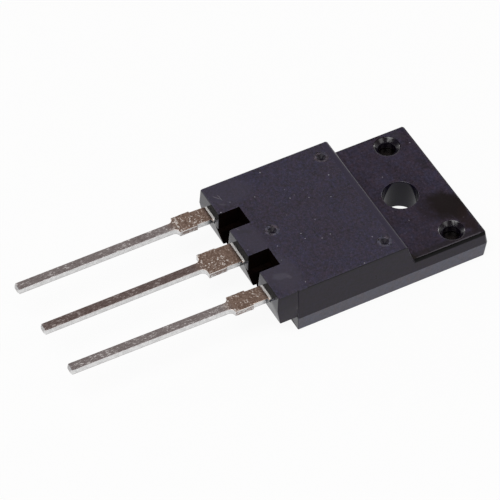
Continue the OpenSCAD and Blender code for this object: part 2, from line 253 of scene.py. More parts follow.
class Material(Graph):
    """A node material with one surface shader."""

    def __init__(self, name: str) -> None:
        """Makes the material with an empty tree.

        Args:
            name: the material's name.
        """
        self.material = bpy.data.materials.new(name)
        self.material.use_nodes = True
        super().__init__(self.material.node_tree)

    def object_place(self) -> Signal:
        """Object coordinates in millimetres."""
        place = self.take("ShaderNodeTexCoord", output="Object")
        return self.take("ShaderNodeVectorMath", {"operation": "SCALE"}, {0: place, "Scale": 1.0 / MM})

    def own_place(self, name: str) -> Signal:
        """The mesh's own vector attribute of this name."""
        return self.take("ShaderNodeAttribute", {"attribute_name": name}, output="Vector")

    def axes(self, place: Signal) -> tuple[Signal, Signal, Signal]:
        """The three parts of a place."""
        parts = self.node("ShaderNodeSeparateXYZ", {}, {0: place})
        return tuple(Signal(self, parts.outputs[i]) for i in range(3))

    def finish(self, shader: Signal) -> bpy.types.Material:
        """Links the shader to the output and gives the material."""
        self.node("ShaderNodeOutputMaterial", {}, {"Surface": shader})
        return self.material


@dataclass(frozen=True)
class Mark:
    """A small mark on a flat face, such as a scratch, a smear, a stain or a patch of painted shade.

    The mark is an ellipse at (x, y) with a half length and a half width, turned by an angle in degrees
    from +X.
    """

    x: float
    y: float
    length: float
    width: float
    angle: float
    strength: float
    colour: Colour

    def mask(self, x: Signal, y: Signal) -> Signal:
        """Where the mark lies.

        Args:
            x: the surface's x in millimetres.
            y: the surface's y in millimetres.

        Returns:
            A signal up to the mark's strength.
        """
        c, s = math.cos(math.radians(self.angle)), math.sin(math.radians(self.angle))
        along = ((x - self.x) * c + (y - self.y) * s) / self.length
        across = ((x - self.x) * -s + (y - self.y) * c) / self.width
        return (along * along + across * across).rise(1.0, 0.25) * self.strength


@dataclass(frozen=True)
class Zone:
    """A soft box on a surface, such as the darker strip under an edge, which is a painted dark reflection.

    It is limited along the axes that it names, in millimetres, may be duller than the rest, and may lean
    towards +X by its slant for each millimetre above its lower end.
    """

    strength: float
    colour: Colour
    soft: float = 0.2
    dull: float = 0.0
    slant: float = 0.0
    x: Range | None = None
    y: Range | None = None
    z: Range | None = None

    def mask(self, parts: tuple[Signal, Signal, Signal]) -> Signal:
        """Where the zone lies.

        Args:
            parts: the surface's x, y and z in millimetres.

        Returns:
            A signal up to the zone's strength.
        """
        x, y, z = parts
        if self.slant:
            x = x - (z - self.z[0]) * self.slant
        limits = [(part, limit) for part, limit in zip((x, y, z), (self.x, self.y, self.z)) if limit]
        masks = [part.within(limit[0], limit[1], self.soft) for part, limit in limits]
        mask = masks[0]
        for other in masks[1:]:
            mask = mask * other
        return mask * self.strength


@dataclass(frozen=True)
class MouldFinish:
    """A finish of the black moulding compound, whose zones and marks can hold painted shade, dark reflections
    and highlights.
    """

    name: str
    colour: Colour
    roughness: float
    grain: float = 0.004
    grain_size: float = 0.26
    speckle: float = 1.7
    cloud: float = 0.35
    dust: float = 0.0
    dust_colour: Colour = (0.34, 0.33, 0.38)
    gloss_level: float = 0.5
    index: float = 1.55
    ragged: float = 0.3
    warm: Colour = (2.2, 1.9, 1.8)
    cool: Colour = (1.8, 2.04, 2.3)
    marks: tuple[Mark, ...] = ()
    zones: tuple[Zone, ...] = ()

    def build(self) -> bpy.types.Material:
        """Makes the material.

        Returns:
            The new material.
        """
        m = Material(self.name)
        place = m.object_place()
        parts = m.axes(place)
        cloud = m.noise(place, 2.6, 3.0)
        fine = m.noise(place, self.grain_size, 2.0)
        hue = m.noise(place, 0.45, 3.0) * 0.65 + m.noise(place, 2.2, 2.0) * 0.35
        finest = m.noise(place, self.grain_size * 0.4, 1.0)
        shade = 1.0 + (cloud - 0.5) * self.cloud + (fine - 0.5) * self.speckle
        shade = shade + (finest - 0.5) * self.speckle * 0.9
        warm = tuple(part * share for part, share in zip(self.colour, self.warm))
        cool = tuple(part * share for part, share in zip(self.colour, self.cool))
        base = m.blend(shade * 0.5, BLACK, m.blend(hue.rise(0.35, 0.65), warm, cool))
        if self.dust:
            large = m.specks(place, 0.9, 0.07, self.dust)
            small = m.specks(place, 0.3, 0.05, 0.5) * 0.12
            base = m.blend(large.larger(small), base, self.dust_colour)
        rough = self.roughness + (cloud - 0.5) * 0.16 + (fine - 0.5) * 0.1
        for zone in self.zones:
            mask = zone.mask(parts)
            base = m.blend(mask, base, zone.colour)
            rough = rough + mask * zone.dull
        if self.marks:
            x = parts[0] + (m.noise(place, 0.9, 4.0) - 0.5) * self.ragged
            y = parts[1] + (m.noise(place, 0.8, 4.0) - 0.5) * self.ragged
        for mark in self.marks:
            base = m.blend(mark.mask(x, y), base, mark.colour)
        normal = m.bump(fine, self.grain)
        sockets = {"Base Color": base, "Roughness": rough, "Normal": normal}
        sockets |= {"IOR": self.index, "Specular IOR Level": self.gloss_level}
        return m.finish(m.take("ShaderNodeBsdfPrincipled", {}, sockets))


@dataclass(frozen=True)
class LeadSizes:
    """The sizes that all three leads share: pitch, heights, and places along Y."""

    pitch: float = 5.45
    top: float = 4.35
    bottom: float = 3.75
    root: float = -17.1
    stub_end: float = -18.85
    stub_start: float = -20.7
    tip: float = -36.9


@dataclass(frozen=True)
class TinFinish:
    """Dull tin plate outside the moulding with painted near-white glints on its flakes, and metal inside it
    painted dark as shade.
    """

    name: str = "tin_plate"
    place_name: str = "flat_place"
    dark_colour: Colour = (0.46, 0.33, 0.265)
    top_colour: Colour = (0.78, 0.60, 0.50)
    thin_dark: Colour = (0.33, 0.25, 0.235)
    thin_colour: Colour = (0.60, 0.51, 0.50)
    outer_dark: Colour = (0.56, 0.505, 0.515)
    outer_colour: Colour = (0.90, 0.87, 0.89)
    side_colour: Colour = (0.80, 0.80, 0.80)
    edge_colour: Colour = (0.42, 0.40, 0.40)
    sheared_colour: Colour = (0.27, 0.21, 0.19)
    stain_colour: Colour = (0.10, 0.10, 0.11)
    # Painted highlight: near-white colour for the glints on the tin's flakes and streaks and on the root bead
    glint_paint_colour: Colour = (0.92, 0.90, 0.87)
    # Painted shade: the metal inside the moulding is nearly black, since it shows only at the shaded floors
    # of the recesses
    inner_shade_colour: Colour = (0.05, 0.045, 0.045)
    roughness: float = 0.28
    cloud_size: float = 0.8
    flake_size: float = 0.17
    streak_size: float = 0.10
    streak_stretch: float = 2.5
    sizes: LeadSizes = LeadSizes()

    def top_face(self, m: Material, place: Signal, y: Signal, outer: Signal) -> tuple[Signal, Signal]:
        """The upper face: coppery and flaky where the lead is wide, streaky and greyer where it is thin.

        Args:
            m: the material.
            place: the flat lead's own place in millimetres.
            y: its y.
            outer: 1 on the two outer leads.

        Returns:
            The face's colour, and where glints are painted.
        """
        clouds = m.noise(place, self.cloud_size, 2.0)
        flakes = m.noise(place, self.flake_size, 3.0)
        streaks = m.noise(place, self.streak_size, 2.5, (1, self.streak_stretch, 1))
        wide = y.rise(self.sizes.stub_start - 1.2, self.sizes.stub_start + 0.3)
        clean = y.rise(self.sizes.root - 0.35, self.sizes.root - 0.9)
        flaky = (flakes + (clouds - 0.5) * 0.45).rise(0.57, 0.68) * clean * 0.85
        near_tip = y.rise(self.sizes.tip + 7.0, self.sizes.tip + 0.5) * 0.04
        streaky = (streaks + (clouds - 0.5) * 0.4 + near_tip).rise(0.59, 0.72) * (outer * 0.3 + 0.4)
        dull = m.blend(flakes.rise(0.3, 0.6), self.dark_colour, self.top_colour)
        mottle = (streaks * 0.5 + clouds * 0.2 + 0.15).rise(0.34, 0.62)
        thin = m.blend(outer, m.blend(mottle, self.thin_dark, self.thin_colour),
                       m.blend(mottle, self.outer_dark, self.outer_colour))
        return m.blend(wide, thin, dull), flaky * wide + streaky * (1.0 - wide)

    def side_face(self, m: Material, place: Signal, y: Signal, z: Signal) -> Signal:
        """The side faces: pale, darker along the bottom, sheared at the stubs and stained at the root.

        Args:
            m: the material.
            place: the flat lead's own place in millimetres.
            y: its y.
            z: its z.

        Returns:
            The colour.
        """
        blotches = m.noise(place, 0.3, 3.0)
        dim = tuple(c * 0.84 for c in self.side_colour)
        side = m.blend(blotches.rise(0.35, 0.65), dim, self.side_colour)
        side = m.blend(z.rise(self.sizes.bottom + 0.12, self.sizes.bottom + 0.03), side, self.edge_colour)
        stub = y.within(self.sizes.stub_start + 0.05, self.sizes.stub_end - 0.05, 0.05)
        stub = stub * z.rise(self.sizes.top - 0.1, self.sizes.top - 0.16)
        side = m.blend(stub * blotches.rise(0.3, 0.55), side, self.sheared_colour)
        stain = y.rise(self.sizes.root - 1.0, self.sizes.root - 0.3) * blotches.rise(0.44, 0.52)
        return m.blend(stain, side, self.stain_colour)

    def build(self) -> bpy.types.Material:
        """Makes the material.

        Returns:
            The new material.
        """
        m = Material(self.name)
        place = m.own_place(self.place_name)
        x, y, z = m.axes(place)
        outer = abs(x).rise(2.6, 2.8)
        across = abs(abs(x) - outer * self.sizes.pitch)
        middle = (self.sizes.top + self.sizes.bottom) / 2
        top = z.rise(self.sizes.top - 0.05, self.sizes.top - 0.01)
        upper, painted_glints = self.top_face(m, place, y, outer)
        side = self.side_face(m, place, y, z)
        cut = across.rise(0.36, 0.22) * abs(z - middle).rise(0.22, 0.12)
        side = m.blend(y.rise(self.sizes.tip + 0.02, self.sizes.tip + 0.01) * cut, side, self.edge_colour)
        # Painted highlight: a near-white strip along the bead at the root
        bead = y.within(self.sizes.root - 0.17, self.sizes.root + 0.05, 0.01) * top
        painted_glints = (painted_glints * top).larger(bead)
        # Painted glints: there the tin takes the near-white colour and loses most of its metal
        tin = m.blend(painted_glints, m.blend(top, side, upper), self.glint_paint_colour)
        base = m.blend(y.rise(self.sizes.root + 0.05, self.sizes.root + 0.08), tin, self.inner_shade_colour)
        fine = m.noise(place, 0.14, 3.0)
        rough = self.roughness + (fine - 0.5) * 0.2
        sockets = {"Base Color": base, "Metallic": 1.0 - painted_glints * 0.75, "Roughness": rough}
        sockets |= {"Normal": m.bump(fine, 0.005)}
        return m.finish(m.take("ShaderNodeBsdfPrincipled", {}, sockets))


@dataclass(frozen=True)
class HiddenFinish:
    """A plain metal or ceramic finish of a piece inside the moulding."""

    name: str
    colour: Colour
    metallic: float
    roughness: float
    grain_size: float

    def build(self) -> bpy.types.Material:
        """Makes the material.

        Returns:
            The new material.
        """
        m = Material(self.name)
        place = m.object_place()
        fine = m.noise(place, self.grain_size, 3.0)
        dark = tuple(part * 0.75 for part in self.colour)
        light = tuple(min(1.0, part * 1.2) for part in self.colour)
        sockets = {"Base Color": m.blend(fine, dark, light), "Metallic": self.metallic}
        sockets |= {"Roughness": self.roughness + (fine - 0.5) * 0.2, "Normal": m.bump(fine, 0.004)}
        return m.finish(m.take("ShaderNodeBsdfPrincipled", {}, sockets))


# The duller top edge of the step, and painted shade on the end faces above the three leads: black, dull
# strips.
STEP_EDGE = Zone(1.0, (0.0245, 0.019, 0.0405), 0.06, 0.3, y=(-4.3, -3.8), z=(5.2, 5.6))
LEAD_SHADE_BANDS = tuple(Zone(1.0, BLACK, 0.04, 0.92, 0.8, x=across, z=(4.35, 5.6))
                   for across in ((-6.3, -4.4), (-1.22, 1.4), (4.6, 6.5)))


class Place(Enum):
    """Where a face of the moulding lies, because each place came out of the mould with its own finish; the
    slot walls are painted nearly black as shade.
    """

    TOP = MouldFinish("matt_top", (0.0212, 0.0156, 0.0370), 0.6, speckle=2.6, cloud=0.5, dust=0.13, marks=(
        Mark(-6.4, -15.5, 3.6, 2.2, 70, 0.5, (0.040, 0.034, 0.058)),
        Mark(-0.2, -15.9, 3.2, 1.4, 10, 0.6, (0.036, 0.030, 0.052)),
        Mark(5.0, -15.4, 3.2, 2.0, 10, 0.6, (0.038, 0.032, 0.054)),
        Mark(-5.95, -16.2, 0.50, 0.035, 38, 0.8, (0.22, 0.21, 0.24)),
        Mark(-5.75, -15.9, 0.55, 0.030, 8, 0.7, (0.20, 0.19, 0.22)),
        Mark(-4.9, -16.1, 0.45, 0.12, 60, 0.25, (0.12, 0.11, 0.13)),
        Mark(5.35, -15.55, 0.95, 0.5, 75, 0.35, (0.085, 0.08, 0.11)),
        Mark(5.8, -14.9, 0.35, 0.25, 30, 0.3, (0.10, 0.09, 0.12)),
        Mark(-1.0, -15.9, 0.9, 0.3, 70, 0.35, (0.012, 0.010, 0.014)),
        Mark(-1.6, -16.3, 0.35, 0.03, 20, 0.6, (0.16, 0.15, 0.17)),
    ), zones=(STEP_EDGE,))
    STEP = MouldFinish("matt_step", (0.026, 0.021, 0.036), 0.36, zones=(replace(STEP_EDGE, dull=0.45),))
    TAB = MouldFinish("smooth_tab", (0.0285, 0.0222, 0.0405), 0.34, grain=0.002, gloss_level=0.38,
                      speckle=1.7, dust=0.08, cloud=1.2, ragged=1.8, marks=(
        Mark(3.1, 3.3, 2.4, 1.9, 25, 1.0, (0.002, 0.0, 0.0)),
        Mark(3.0, 2.4, 3.0, 2.1, 60, 0.5, (0.006, 0.002, 0.004)),
        Mark(5.6, 4.0, 1.9, 1.0, 0, 0.8, (0.008, 0.002, 0.002)),
        Mark(-6.9, 3.6, 1.2, 0.5, 60, 0.5, (0.030, 0.028, 0.034)),
        Mark(-2.6, 3.9, 1.3, 0.5, 15, 0.5, (0.012, 0.010, 0.014)),
        # Painted shade at the foot of the step, in the tab's near corner
        Mark(7.2, -2.9, 0.9, 0.6, 10, 0.75, (0.008, 0.006, 0.003)),
    ), zones=(
        Zone(0.6, (0.010, 0.007, 0.006), 0.35, x=(7.1, 7.5)),
        # Painted highlight: a pale line along the tab's near top edge
        Zone(0.5, (0.13, 0.12, 0.14), 0.02, x=(7.5, 7.62), y=(-2.6, 4.2)),
    ))
    SIDE = MouldFinish("smooth_side", (0.0075, 0.0035, 0.0125), 0.32, grain=0.002, gloss_level=0.24, zones=(
        # Painted dark reflection: a thin black line under the body's near top edge
        Zone(0.5, BLACK, 0.1, z=(5.15, 5.4)),
        # Painted dark reflection: a black, dull band under the tab's near top edge
        Zone(1.0, BLACK, 0.18, dull=0.65, y=(-2.8, 9.0), z=(3.05, 3.5)),
    ))
    LOWER = MouldFinish("lower_band", (0.047, 0.045, 0.070), 0.34, grain=0.002, speckle=1.2)
    END = MouldFinish("end_faces", (0.003, 0.002, 0.012), 0.08, grain=0.0004, index=1.6, speckle=0.4,
                      zones=LEAD_SHADE_BANDS)
    # Painted shade: the slot walls are nearly black and have no gloss
    SLOT = MouldFinish("slot_walls_painted_shade", (0.004, 0.002, 0.0015), 0.9, gloss_level=0.0)
    HOLE = MouldFinish("hole_walls", (0.0045, 0.002, 0.014), 0.1, grain=0.0004, speckle=0.3, gloss_level=0.22)
    RECESS = MouldFinish("recess_walls", (0.005, 0.003, 0.008), 0.2, grain=0.0004, speckle=0.3)
    MARK = MouldFinish("pin_marks", (0.070, 0.064, 0.084), 0.3, grain=0.001, speckle=3.0)
    PIT = MouldFinish("pin_pits", (0.009, 0.006, 0.014), 0.5, grain=0.001, gloss_level=0.25)
    BACK = MouldFinish("flat_back", (0.030, 0.027, 0.036), 0.4)


@dataclass(frozen=True)
class Spot:
    """A round place on the moulding, such as a recess or a pin mark."""

    x: float
    y: float
    radius: float
    top: float
    edge: float

    def holds(self, place: Vector) -> bool:
        """Tells whether a place lies in the spot, below its face."""
        return math.hypot(place.x - self.x, place.y - self.y) < self.radius and place.z < self.top


class Workshop:
    """What all pieces need: finer copies of the frame's nodes, rounded edges and clean shading."""

    merge_distance: float = 0.0005
    bevel_segments: int = 3
    extra_angle: float = 10
    level_angle: float = 0.5
    flat_size: float = 6.0
    near_largest: float = 0.5
    no_angle: float = 9.0

    @staticmethod
    def copy(node: str, name: str) -> bpy.types.Object:
        """Copies a node of the frame with its triangles merged to whole faces.

        Args:
            node: name of the frame's node.
            name: name of the new piece.

        Returns:
            The new object, linked to the scene.
        """
        mesh = bpy.data.meshes.new(name)
        bm = bmesh.new()
        bm.from_mesh(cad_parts[node].data)
        for layer in list(bm.loops.layers.float_vector.values()):
            bm.loops.layers.float_vector.remove(layer)
        bmesh.ops.remove_doubles(bm, verts=bm.verts, dist=Workshop.merge_distance * MM)
        bm.to_mesh(mesh)
        bm.free()
        for attribute in ("custom_normal", "sharp_edge", "sharp_face"):
            if attribute in mesh.attributes:
                mesh.attributes.remove(mesh.attributes[attribute])
        mesh.materials.clear()
        mesh.shade_smooth()
        piece = bpy.data.objects.new(name, mesh)
        bpy.context.scene.collection.objects.link(piece)
        return piece

    @staticmethod
    def round_edges(piece: bpy.types.Object, angle: float, rule: Callable[[Vector], float]) -> None:
        """Rounds a piece's sharp outer edges.

        Args:
            piece: the piece.
            angle: smallest angle of a sharp edge in degrees.
            rule: gives the width of the rounding from the middle of an edge.
        """
        mesh = piece.data
        mesh.set_sharp_from_angle(angle=math.radians(angle))
        bm = bmesh.new()
        bm.from_mesh(mesh)
        weight = bm.edges.layers.float.new("bevel_weight_edge")
        widths = {}
        for edge in bm.edges:
            if len(edge.link_faces) == 2 and edge.is_convex and edge.calc_face_angle() > math.radians(angle):
                widths[edge] = rule((edge.verts[0].co + edge.verts[1].co) / 2 / MM)
        widest = max(widths.values())
        for edge, width in widths.items():
            edge[weight] = width / widest
        bm.to_mesh(mesh)
        bm.free()
        bevel = piece.modifiers.new("rounded_edges", "BEVEL")
        bevel.width = widest * MM
        bevel.segments = Workshop.bevel_segments
        bevel.limit_method = "WEIGHT"
        bevel.loop_slide = False
        bevel.use_clamp_overlap = False
        low, high = Workshop.box(piece)
        Workshop.bake(piece)
        for vertex in piece.data.vertices:
            vertex.co = [min(max(part, a), b) for part, a, b in zip(vertex.co, low, high)]
        Workshop.shade(piece, angle + Workshop.extra_angle)

    @staticmethod
    def box(piece: bpy.types.Object) -> tuple[list[float], list[float]]:
        """The lowest and the highest corner of a piece's box."""
        parts = list(zip(*(vertex.co for vertex in piece.data.vertices)))
        return [min(part) for part in parts], [max(part) for part in parts]

    @staticmethod
    def planes(bm: bmesh.types.BMesh) -> tuple[list[int], list[float]]:
        """Finds the flat areas that a mesh is made of.

        Args:
            bm: the mesh.

        Returns:
            The number of each face's area, and the size of each area in square millimetres.
        """
        numbers, sizes = [-1] * len(bm.faces), []
        for first in bm.faces:
            if numbers[first.index] >= 0:
                continue
            numbers[first.index] = len(sizes)
            sizes.append(0.0)
            waiting = [first]
            while waiting:
                face = waiting.pop()
                sizes[-1] += face.calc_area() / MM ** 2
                for other in {other for edge in face.edges for other in edge.link_faces}:
                    angle = math.degrees(other.normal.angle(first.normal, Workshop.no_angle))
                    if angle < Workshop.level_angle and numbers[other.index] < 0:
                        numbers[other.index] = len(sizes) - 1
                        waiting.append(other)
        return numbers, sizes

    @staticmethod
    def shade(piece: bpy.types.Object, angle: float) -> None:
        """Shades large flat areas flat, and lets the roundings between them run into them.

        Args:
            piece: the piece.
            angle: largest angle in degrees between two faces that share their shading.
        """
        bm = bmesh.new()
        bm.from_mesh(piece.data)
        numbers, sizes = Workshop.planes(bm)
        corners = []
        for face in bm.faces:
            for vertex in (loop.vert for loop in face.loops):
                near = {numbers[other.index]: other.normal for other in vertex.link_faces
                        if other.normal.angle(face.normal, Workshop.no_angle) < math.radians(angle)}
                least = max((sizes[number] for number in near), default=0.0) * Workshop.near_largest
                shared = [normal for number, normal in near.items() if sizes[number] > least]
                alone = sizes[numbers[face.index]] > Workshop.flat_size or not shared
                corners.append(tuple(face.normal if alone else sum(shared, Vector()).normalized()))
        bm.free()
        piece.data.normals_split_custom_set(corners)

    @staticmethod
    def bake(piece: bpy.types.Object) -> None:
        """Makes a piece's modifiers part of its mesh.

        Args:
            piece: the piece.
        """
        shaped = piece.evaluated_get(bpy.context.evaluated_depsgraph_get())
        mesh = bpy.data.meshes.new_from_object(shaped)
        piece.modifiers.clear()
        piece.data = mesh

    @staticmethod
    def place(piece: bpy.types.Object, node: str, slot: str) -> None:
        """Puts a piece on the body in place of its node and reports it.

        Args:
            piece: the piece.
            node: the node that it stands for.
            slot: name of a material slot; it is not used.
        """
        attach(piece, BODY)
        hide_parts(node)
        LOG.info("%s stands for node %s with %d faces", piece.name, node, len(piece.data.polygons))


@dataclass
class Moulding:
    """The one black moulding that holds all other pieces.

    Flat, facing, upright and leaning are limits for one part of a face's normal.
    """

    node: str = "moulded_body"
    edge: float = 0.09
    top_height: float = 5.5
    tab_height: float = 3.4
    side_line: float = 1.8
    slot_place: float = 2.9
    slot_half: float = 1.15
    slot_floor: float = -14.9
    end: float = -17.1
    hole_radius: float = 1.7
    margin: float = 0.2
    near: float = 0.05
    recess_rim: float = 0.04
    pin_rim: float = 0.02
    pin_depth: float = 0.09
    edge_band: float = 0.12
    sharp_angle: float = 30
    flat: float = 0.9
    facing: float = 0.8
    upright: float = 0.5
    leaning: float = 0.1
    step_foot: float = 0.5
    recesses: tuple[Spot, ...] = (Spot(-6.05, 2.0, 1.4, 3.41, 0.1), Spot(6.05, 2.0, 1.4, 3.41, 0.1))
    pins: tuple[Spot, ...] = (Spot(-6.0, -5.15, 0.8, 5.51, 0.035), Spot(6.0, -5.15, 0.8, 5.51, 0.035),
                              Spot(0.0, -13.55, 0.8, 5.51, 0.035))
    finishes: dict[Place, int] = field(default_factory=dict)

    def where(self, centre: Vector, normal: Vector) -> Place:
        """Tells which finish a face has.

        Args:
            centre: the face's centre in millimetres.
            normal: the face's normal.

        Returns:
            The place.
        """
        in_slot = abs(abs(centre.x) - self.slot_place) < self.slot_half
        in_slot = in_slot and centre.y < self.slot_floor + self.margin
        wall = centre.y > self.end + self.near or abs(normal.x) > self.upright
        if in_slot and wall and centre.z < self.top_height - self.margin:
            return Place.SLOT
        if math.hypot(centre.x, centre.y) < self.hole_radius + self.near and abs(normal.z) < self.upright:
            return Place.HOLE
        if any(spot.holds(centre) and centre.z < spot.top - self.recess_rim for spot in self.recesses):
            return Place.RECESS
        if any(spot.holds(centre) and centre.z < spot.top - self.pin_rim for spot in self.pins):
            return Place.MARK if centre.z > self.top_height - self.pin_depth else Place.PIT
        if normal.z > self.flat:
            return Place.TOP if centre.z > self.tab_height + self.step_foot else Place.TAB
        if normal.z < -self.flat:
            return Place.BACK
        if normal.y < -self.facing:
            return Place.END
        if normal.y > self.leaning and centre.z > self.tab_height and centre.y < 0:
            return Place.STEP
        if centre.z < self.side_line:
            return Place.LOWER
        return Place.TOP if centre.z > self.top_height - self.edge_band else Place.SIDE

    def rounding(self, middle: Vector) -> float:
        """Tells how wide an edge is rounded.

        Args:
            middle: the edge's middle in millimetres.

        Returns:
            The width in millimetres.
        """
        for spot in self.recesses + self.pins:
            if spot.holds(middle):
                return spot.edge
        return self.edge

    def build(self) -> bpy.types.Object:
        """Makes the moulding and dresses it.

        Returns:
            The finished piece.
        """
        piece = Workshop.copy(self.node, "moulding")
        for place in Place:
            self.finishes[place] = len(piece.data.materials)
            piece.data.materials.append(place.value.build())
        for face in piece.data.polygons:
            face.material_index = self.finishes[self.where(face.center / MM, face.normal)]
        Workshop.round_edges(piece, self.sharp_angle, self.rounding)
        Workshop.place(piece, self.node, "moulding_compound")
        return piece


@dataclass
class Lead:
    """One flat lead, from its tip to the part inside the moulding."""

    node: str
    name: str
    across: float
    neck_width: float
    stub_width: float
    lift: float = 0.0
    tip_rise: float = 0.0
    seed: int = 1
    edge: float = 0.03
    sharp_angle: float = 40
    sizes: LeadSizes = LeadSizes()
    bead: float = 0.06
    bead_rings: int = 40
    bead_sides: int = 12
    blob: float = 1.5
    bead_gap: float = 0.09
    bead_sink: float = 0.01
    bead_start: float = 0.03
    bead_overhang: float = 0.16
    bead_grain: float = 5.0
    shear: float = 0.09
    shear_grain: float = 7.0
    seed_step: float = 7000.0
    bend_start: float = 0.4
    bend_step: float = 0.6
    bend_cuts: int = 27
    shear_start: float = 0.05
    shear_step: float = 0.08
    shear_cuts: int = 23

    @property
    def inputs(self) -> dict[str, float]:
        """The values of the rule's inputs by name."""
        return {
            "Across": self.across, "Neck Width": self.neck_width, "Stub Width": self.stub_width,
            "Lift": self.lift, "Tip Rise": self.tip_rise, "Bead Radius": self.bead, "Blob Size": self.blob,
            "Shear Depth": self.shear, "Seed": float(self.seed),
        }

    def cut(self, piece: bpy.types.Object) -> None:
        """Cuts the lead across so that it can bend and its sheared sides can be rough.

        Args:
            piece: the lead's copy.
        """
        bm = bmesh.new()
        bm.from_mesh(piece.data)
        bends, shears = self.sizes.tip + self.bend_start, self.sizes.stub_start + self.shear_start
        steps = [bends + self.bend_step * i for i in range(self.bend_cuts)]
        steps += [shears + self.shear_step * i for i in range(self.shear_cuts)]
        for step in steps:
            geometry = bm.verts[:] + bm.edges[:] + bm.faces[:]
            plane = {"plane_co": (0, step * MM, 0), "plane_no": (0, 1, 0)}
            bmesh.ops.bisect_plane(bm, geom=geometry, dist=1e-7, **plane)
        bm.to_mesh(piece.data)
        bm.free()

    def tree(self, material: bpy.types.Material) -> bpy.types.NodeTree:
        """The rule of a lead: it keeps its flat place, gets rough sheared sides and a bead, and then bends.

        Args:
            material: the lead's finish.

        Returns:
            The geometry tree.
        """
        tree = bpy.data.node_groups.new("lead_rule", "GeometryNodeTree")
        g = Graph(tree)
        tree.interface.new_socket("Geometry", in_out="INPUT", socket_type="NodeSocketGeometry")
        for name in self.inputs:
            tree.interface.new_socket(name, in_out="INPUT", socket_type="NodeSocketFloat")
        tree.interface.new_socket("Geometry", in_out="OUTPUT", socket_type="NodeSocketGeometry")
        start = g.node("NodeGroupInput")

        def given(name: str) -> Signal:
            """One named input of the tree."""
            return Signal(g, start.outputs[name])

        def vector(x: Number, y: Number, z: Number) -> Signal:
            """A vector in metres from millimetres."""
            parts = g.take("ShaderNodeCombineXYZ", {}, {0: x, 1: y, 2: z})
            return g.take("ShaderNodeVectorMath", {"operation": "SCALE"}, {0: parts, "Scale": MM})

        def place() -> tuple[Signal, Signal, Signal, Signal]:
            """Each point's place.

            Returns:
                The place in millimetres, and its three parts.
            """
            here = g.take("GeometryNodeInputPosition")
            scaled = g.take("ShaderNodeVectorMath", {"operation": "SCALE"}, {0: here, "Scale": 1.0 / MM})
            parts = g.node("ShaderNodeSeparateXYZ", {}, {0: scaled})
            return scaled, *(Signal(g, parts.outputs[i]) for i in range(3))

        here, x, y, _ = place()
        half = given("Neck Width") * 0.5
        bead_y, bead_z = self.sizes.root - self.bead_gap, self.sizes.top - self.bead_sink
        line = {"Start": vector(given("Across") - half + self.bead_start, bead_y, bead_z),
                "End": vector(given("Across") + half + self.bead_overhang, bead_y, bead_z)}
        path = g.take("GeometryNodeCurvePrimitiveLine", {}, line)
        rings = {"Curve": path, "Count": self.bead_rings}
        path = g.take("GeometryNodeResampleCurve", {"mode": "COUNT"}, rings)
        moved = {0: here, 1: vector(given("Seed") * self.seed_step, 0.0, 0.0)}
        seeded = g.take("ShaderNodeVectorMath", {"operation": "ADD"}, moved)
        grain = {"Vector": seeded, "Scale": self.bead_grain, "Detail": 2.0}
        rough = g.take("ShaderNodeTexNoise", {}, grain)
        near_end = abs(x - given("Across") - half - 0.04)
        swell = 0.7 + rough * 0.6 + near_end.rise(0.2, 0.04) * given("Blob Size")
        circle = {"Radius": given("Bead Radius") * MM, "Resolution": self.bead_sides}
        profile = g.take("GeometryNodeCurvePrimitiveCircle", {}, circle)
        sweep = {"Curve": path, "Profile Curve": profile, "Fill Caps": True, "Scale": swell}
        bead = g.take("GeometryNodeCurveToMesh", {}, sweep)

        sheared = y.within(self.sizes.stub_start + 0.02, self.sizes.stub_end - 0.05, 0.02)
        outward = (x - given("Across")) / abs(x - given("Across")).larger(0.01)
        grain = {"Vector": seeded, "Scale": self.shear_grain, "Detail": 3.0}
        teeth = g.take("ShaderNodeTexNoise", {}, grain)
        side = (abs(x - given("Across")) - given("Stub Width") * 0.5).rise(-0.08, -0.03)
        shift = vector(outward * sheared * side * (teeth - 0.5) * given("Shear Depth"), 0.0, 0.0)
        geometry = g.take("GeometryNodeSetPosition", {}, {"Geometry": given("Geometry"), "Offset": shift})
        bead_join = g.node("GeometryNodeJoinGeometry")
        tree.links.new(geometry.socket, bead_join.inputs[0])
        tree.links.new(bead.socket, bead_join.inputs[0])
        joined = Signal(g, bead_join.outputs[0])

        kept = {"Geometry": joined, "Name": "flat_place", "Value": place()[0]}
        settings = {"data_type": "FLOAT_VECTOR", "domain": "POINT"}
        joined = g.take("GeometryNodeStoreNamedAttribute", settings, kept)

        _, _, y, _ = place()
        along = ((y - self.sizes.stub_end) / (self.sizes.tip - self.sizes.stub_end)).larger(0.0)
        lifted = y.rise(self.sizes.root - 0.15, self.sizes.root - 1.9) * given("Lift")
        offset = vector(0.0, 0.0, lifted + along * given("Tip Rise"))
        joined = g.take("GeometryNodeSetPosition", {}, {"Geometry": joined, "Offset": offset})
        joined = g.take("GeometryNodeRealizeInstances", {}, {"Geometry": joined})
        joined = g.take("GeometryNodeSetMaterial", {}, {"Geometry": joined, "Material": material})
        g.node("NodeGroupOutput", {}, {0: joined})
        return tree

    def build(self, material: bpy.types.Material) -> bpy.types.Object:
        """Makes the lead.

        Args:
            material: the finish of all leads.

        Returns:
            The finished piece.
        """
        piece = Workshop.copy(self.node, self.name)
        self.cut(piece)
        tree = self.tree(material)
        modifier = piece.modifiers.new("lead_rule", "NODES")
        modifier.node_group = tree
        for item in tree.interface.items_tree:
            if item.in_out == "INPUT" and item.name in self.inputs:
                modifier[item.identifier] = self.inputs[item.name]
        Workshop.bake(piece)
        piece.data.shade_smooth()
        Workshop.round_edges(piece, self.sharp_angle, lambda middle: self.edge)
        Workshop.place(piece, self.node, "tinned_copper")
        return piece


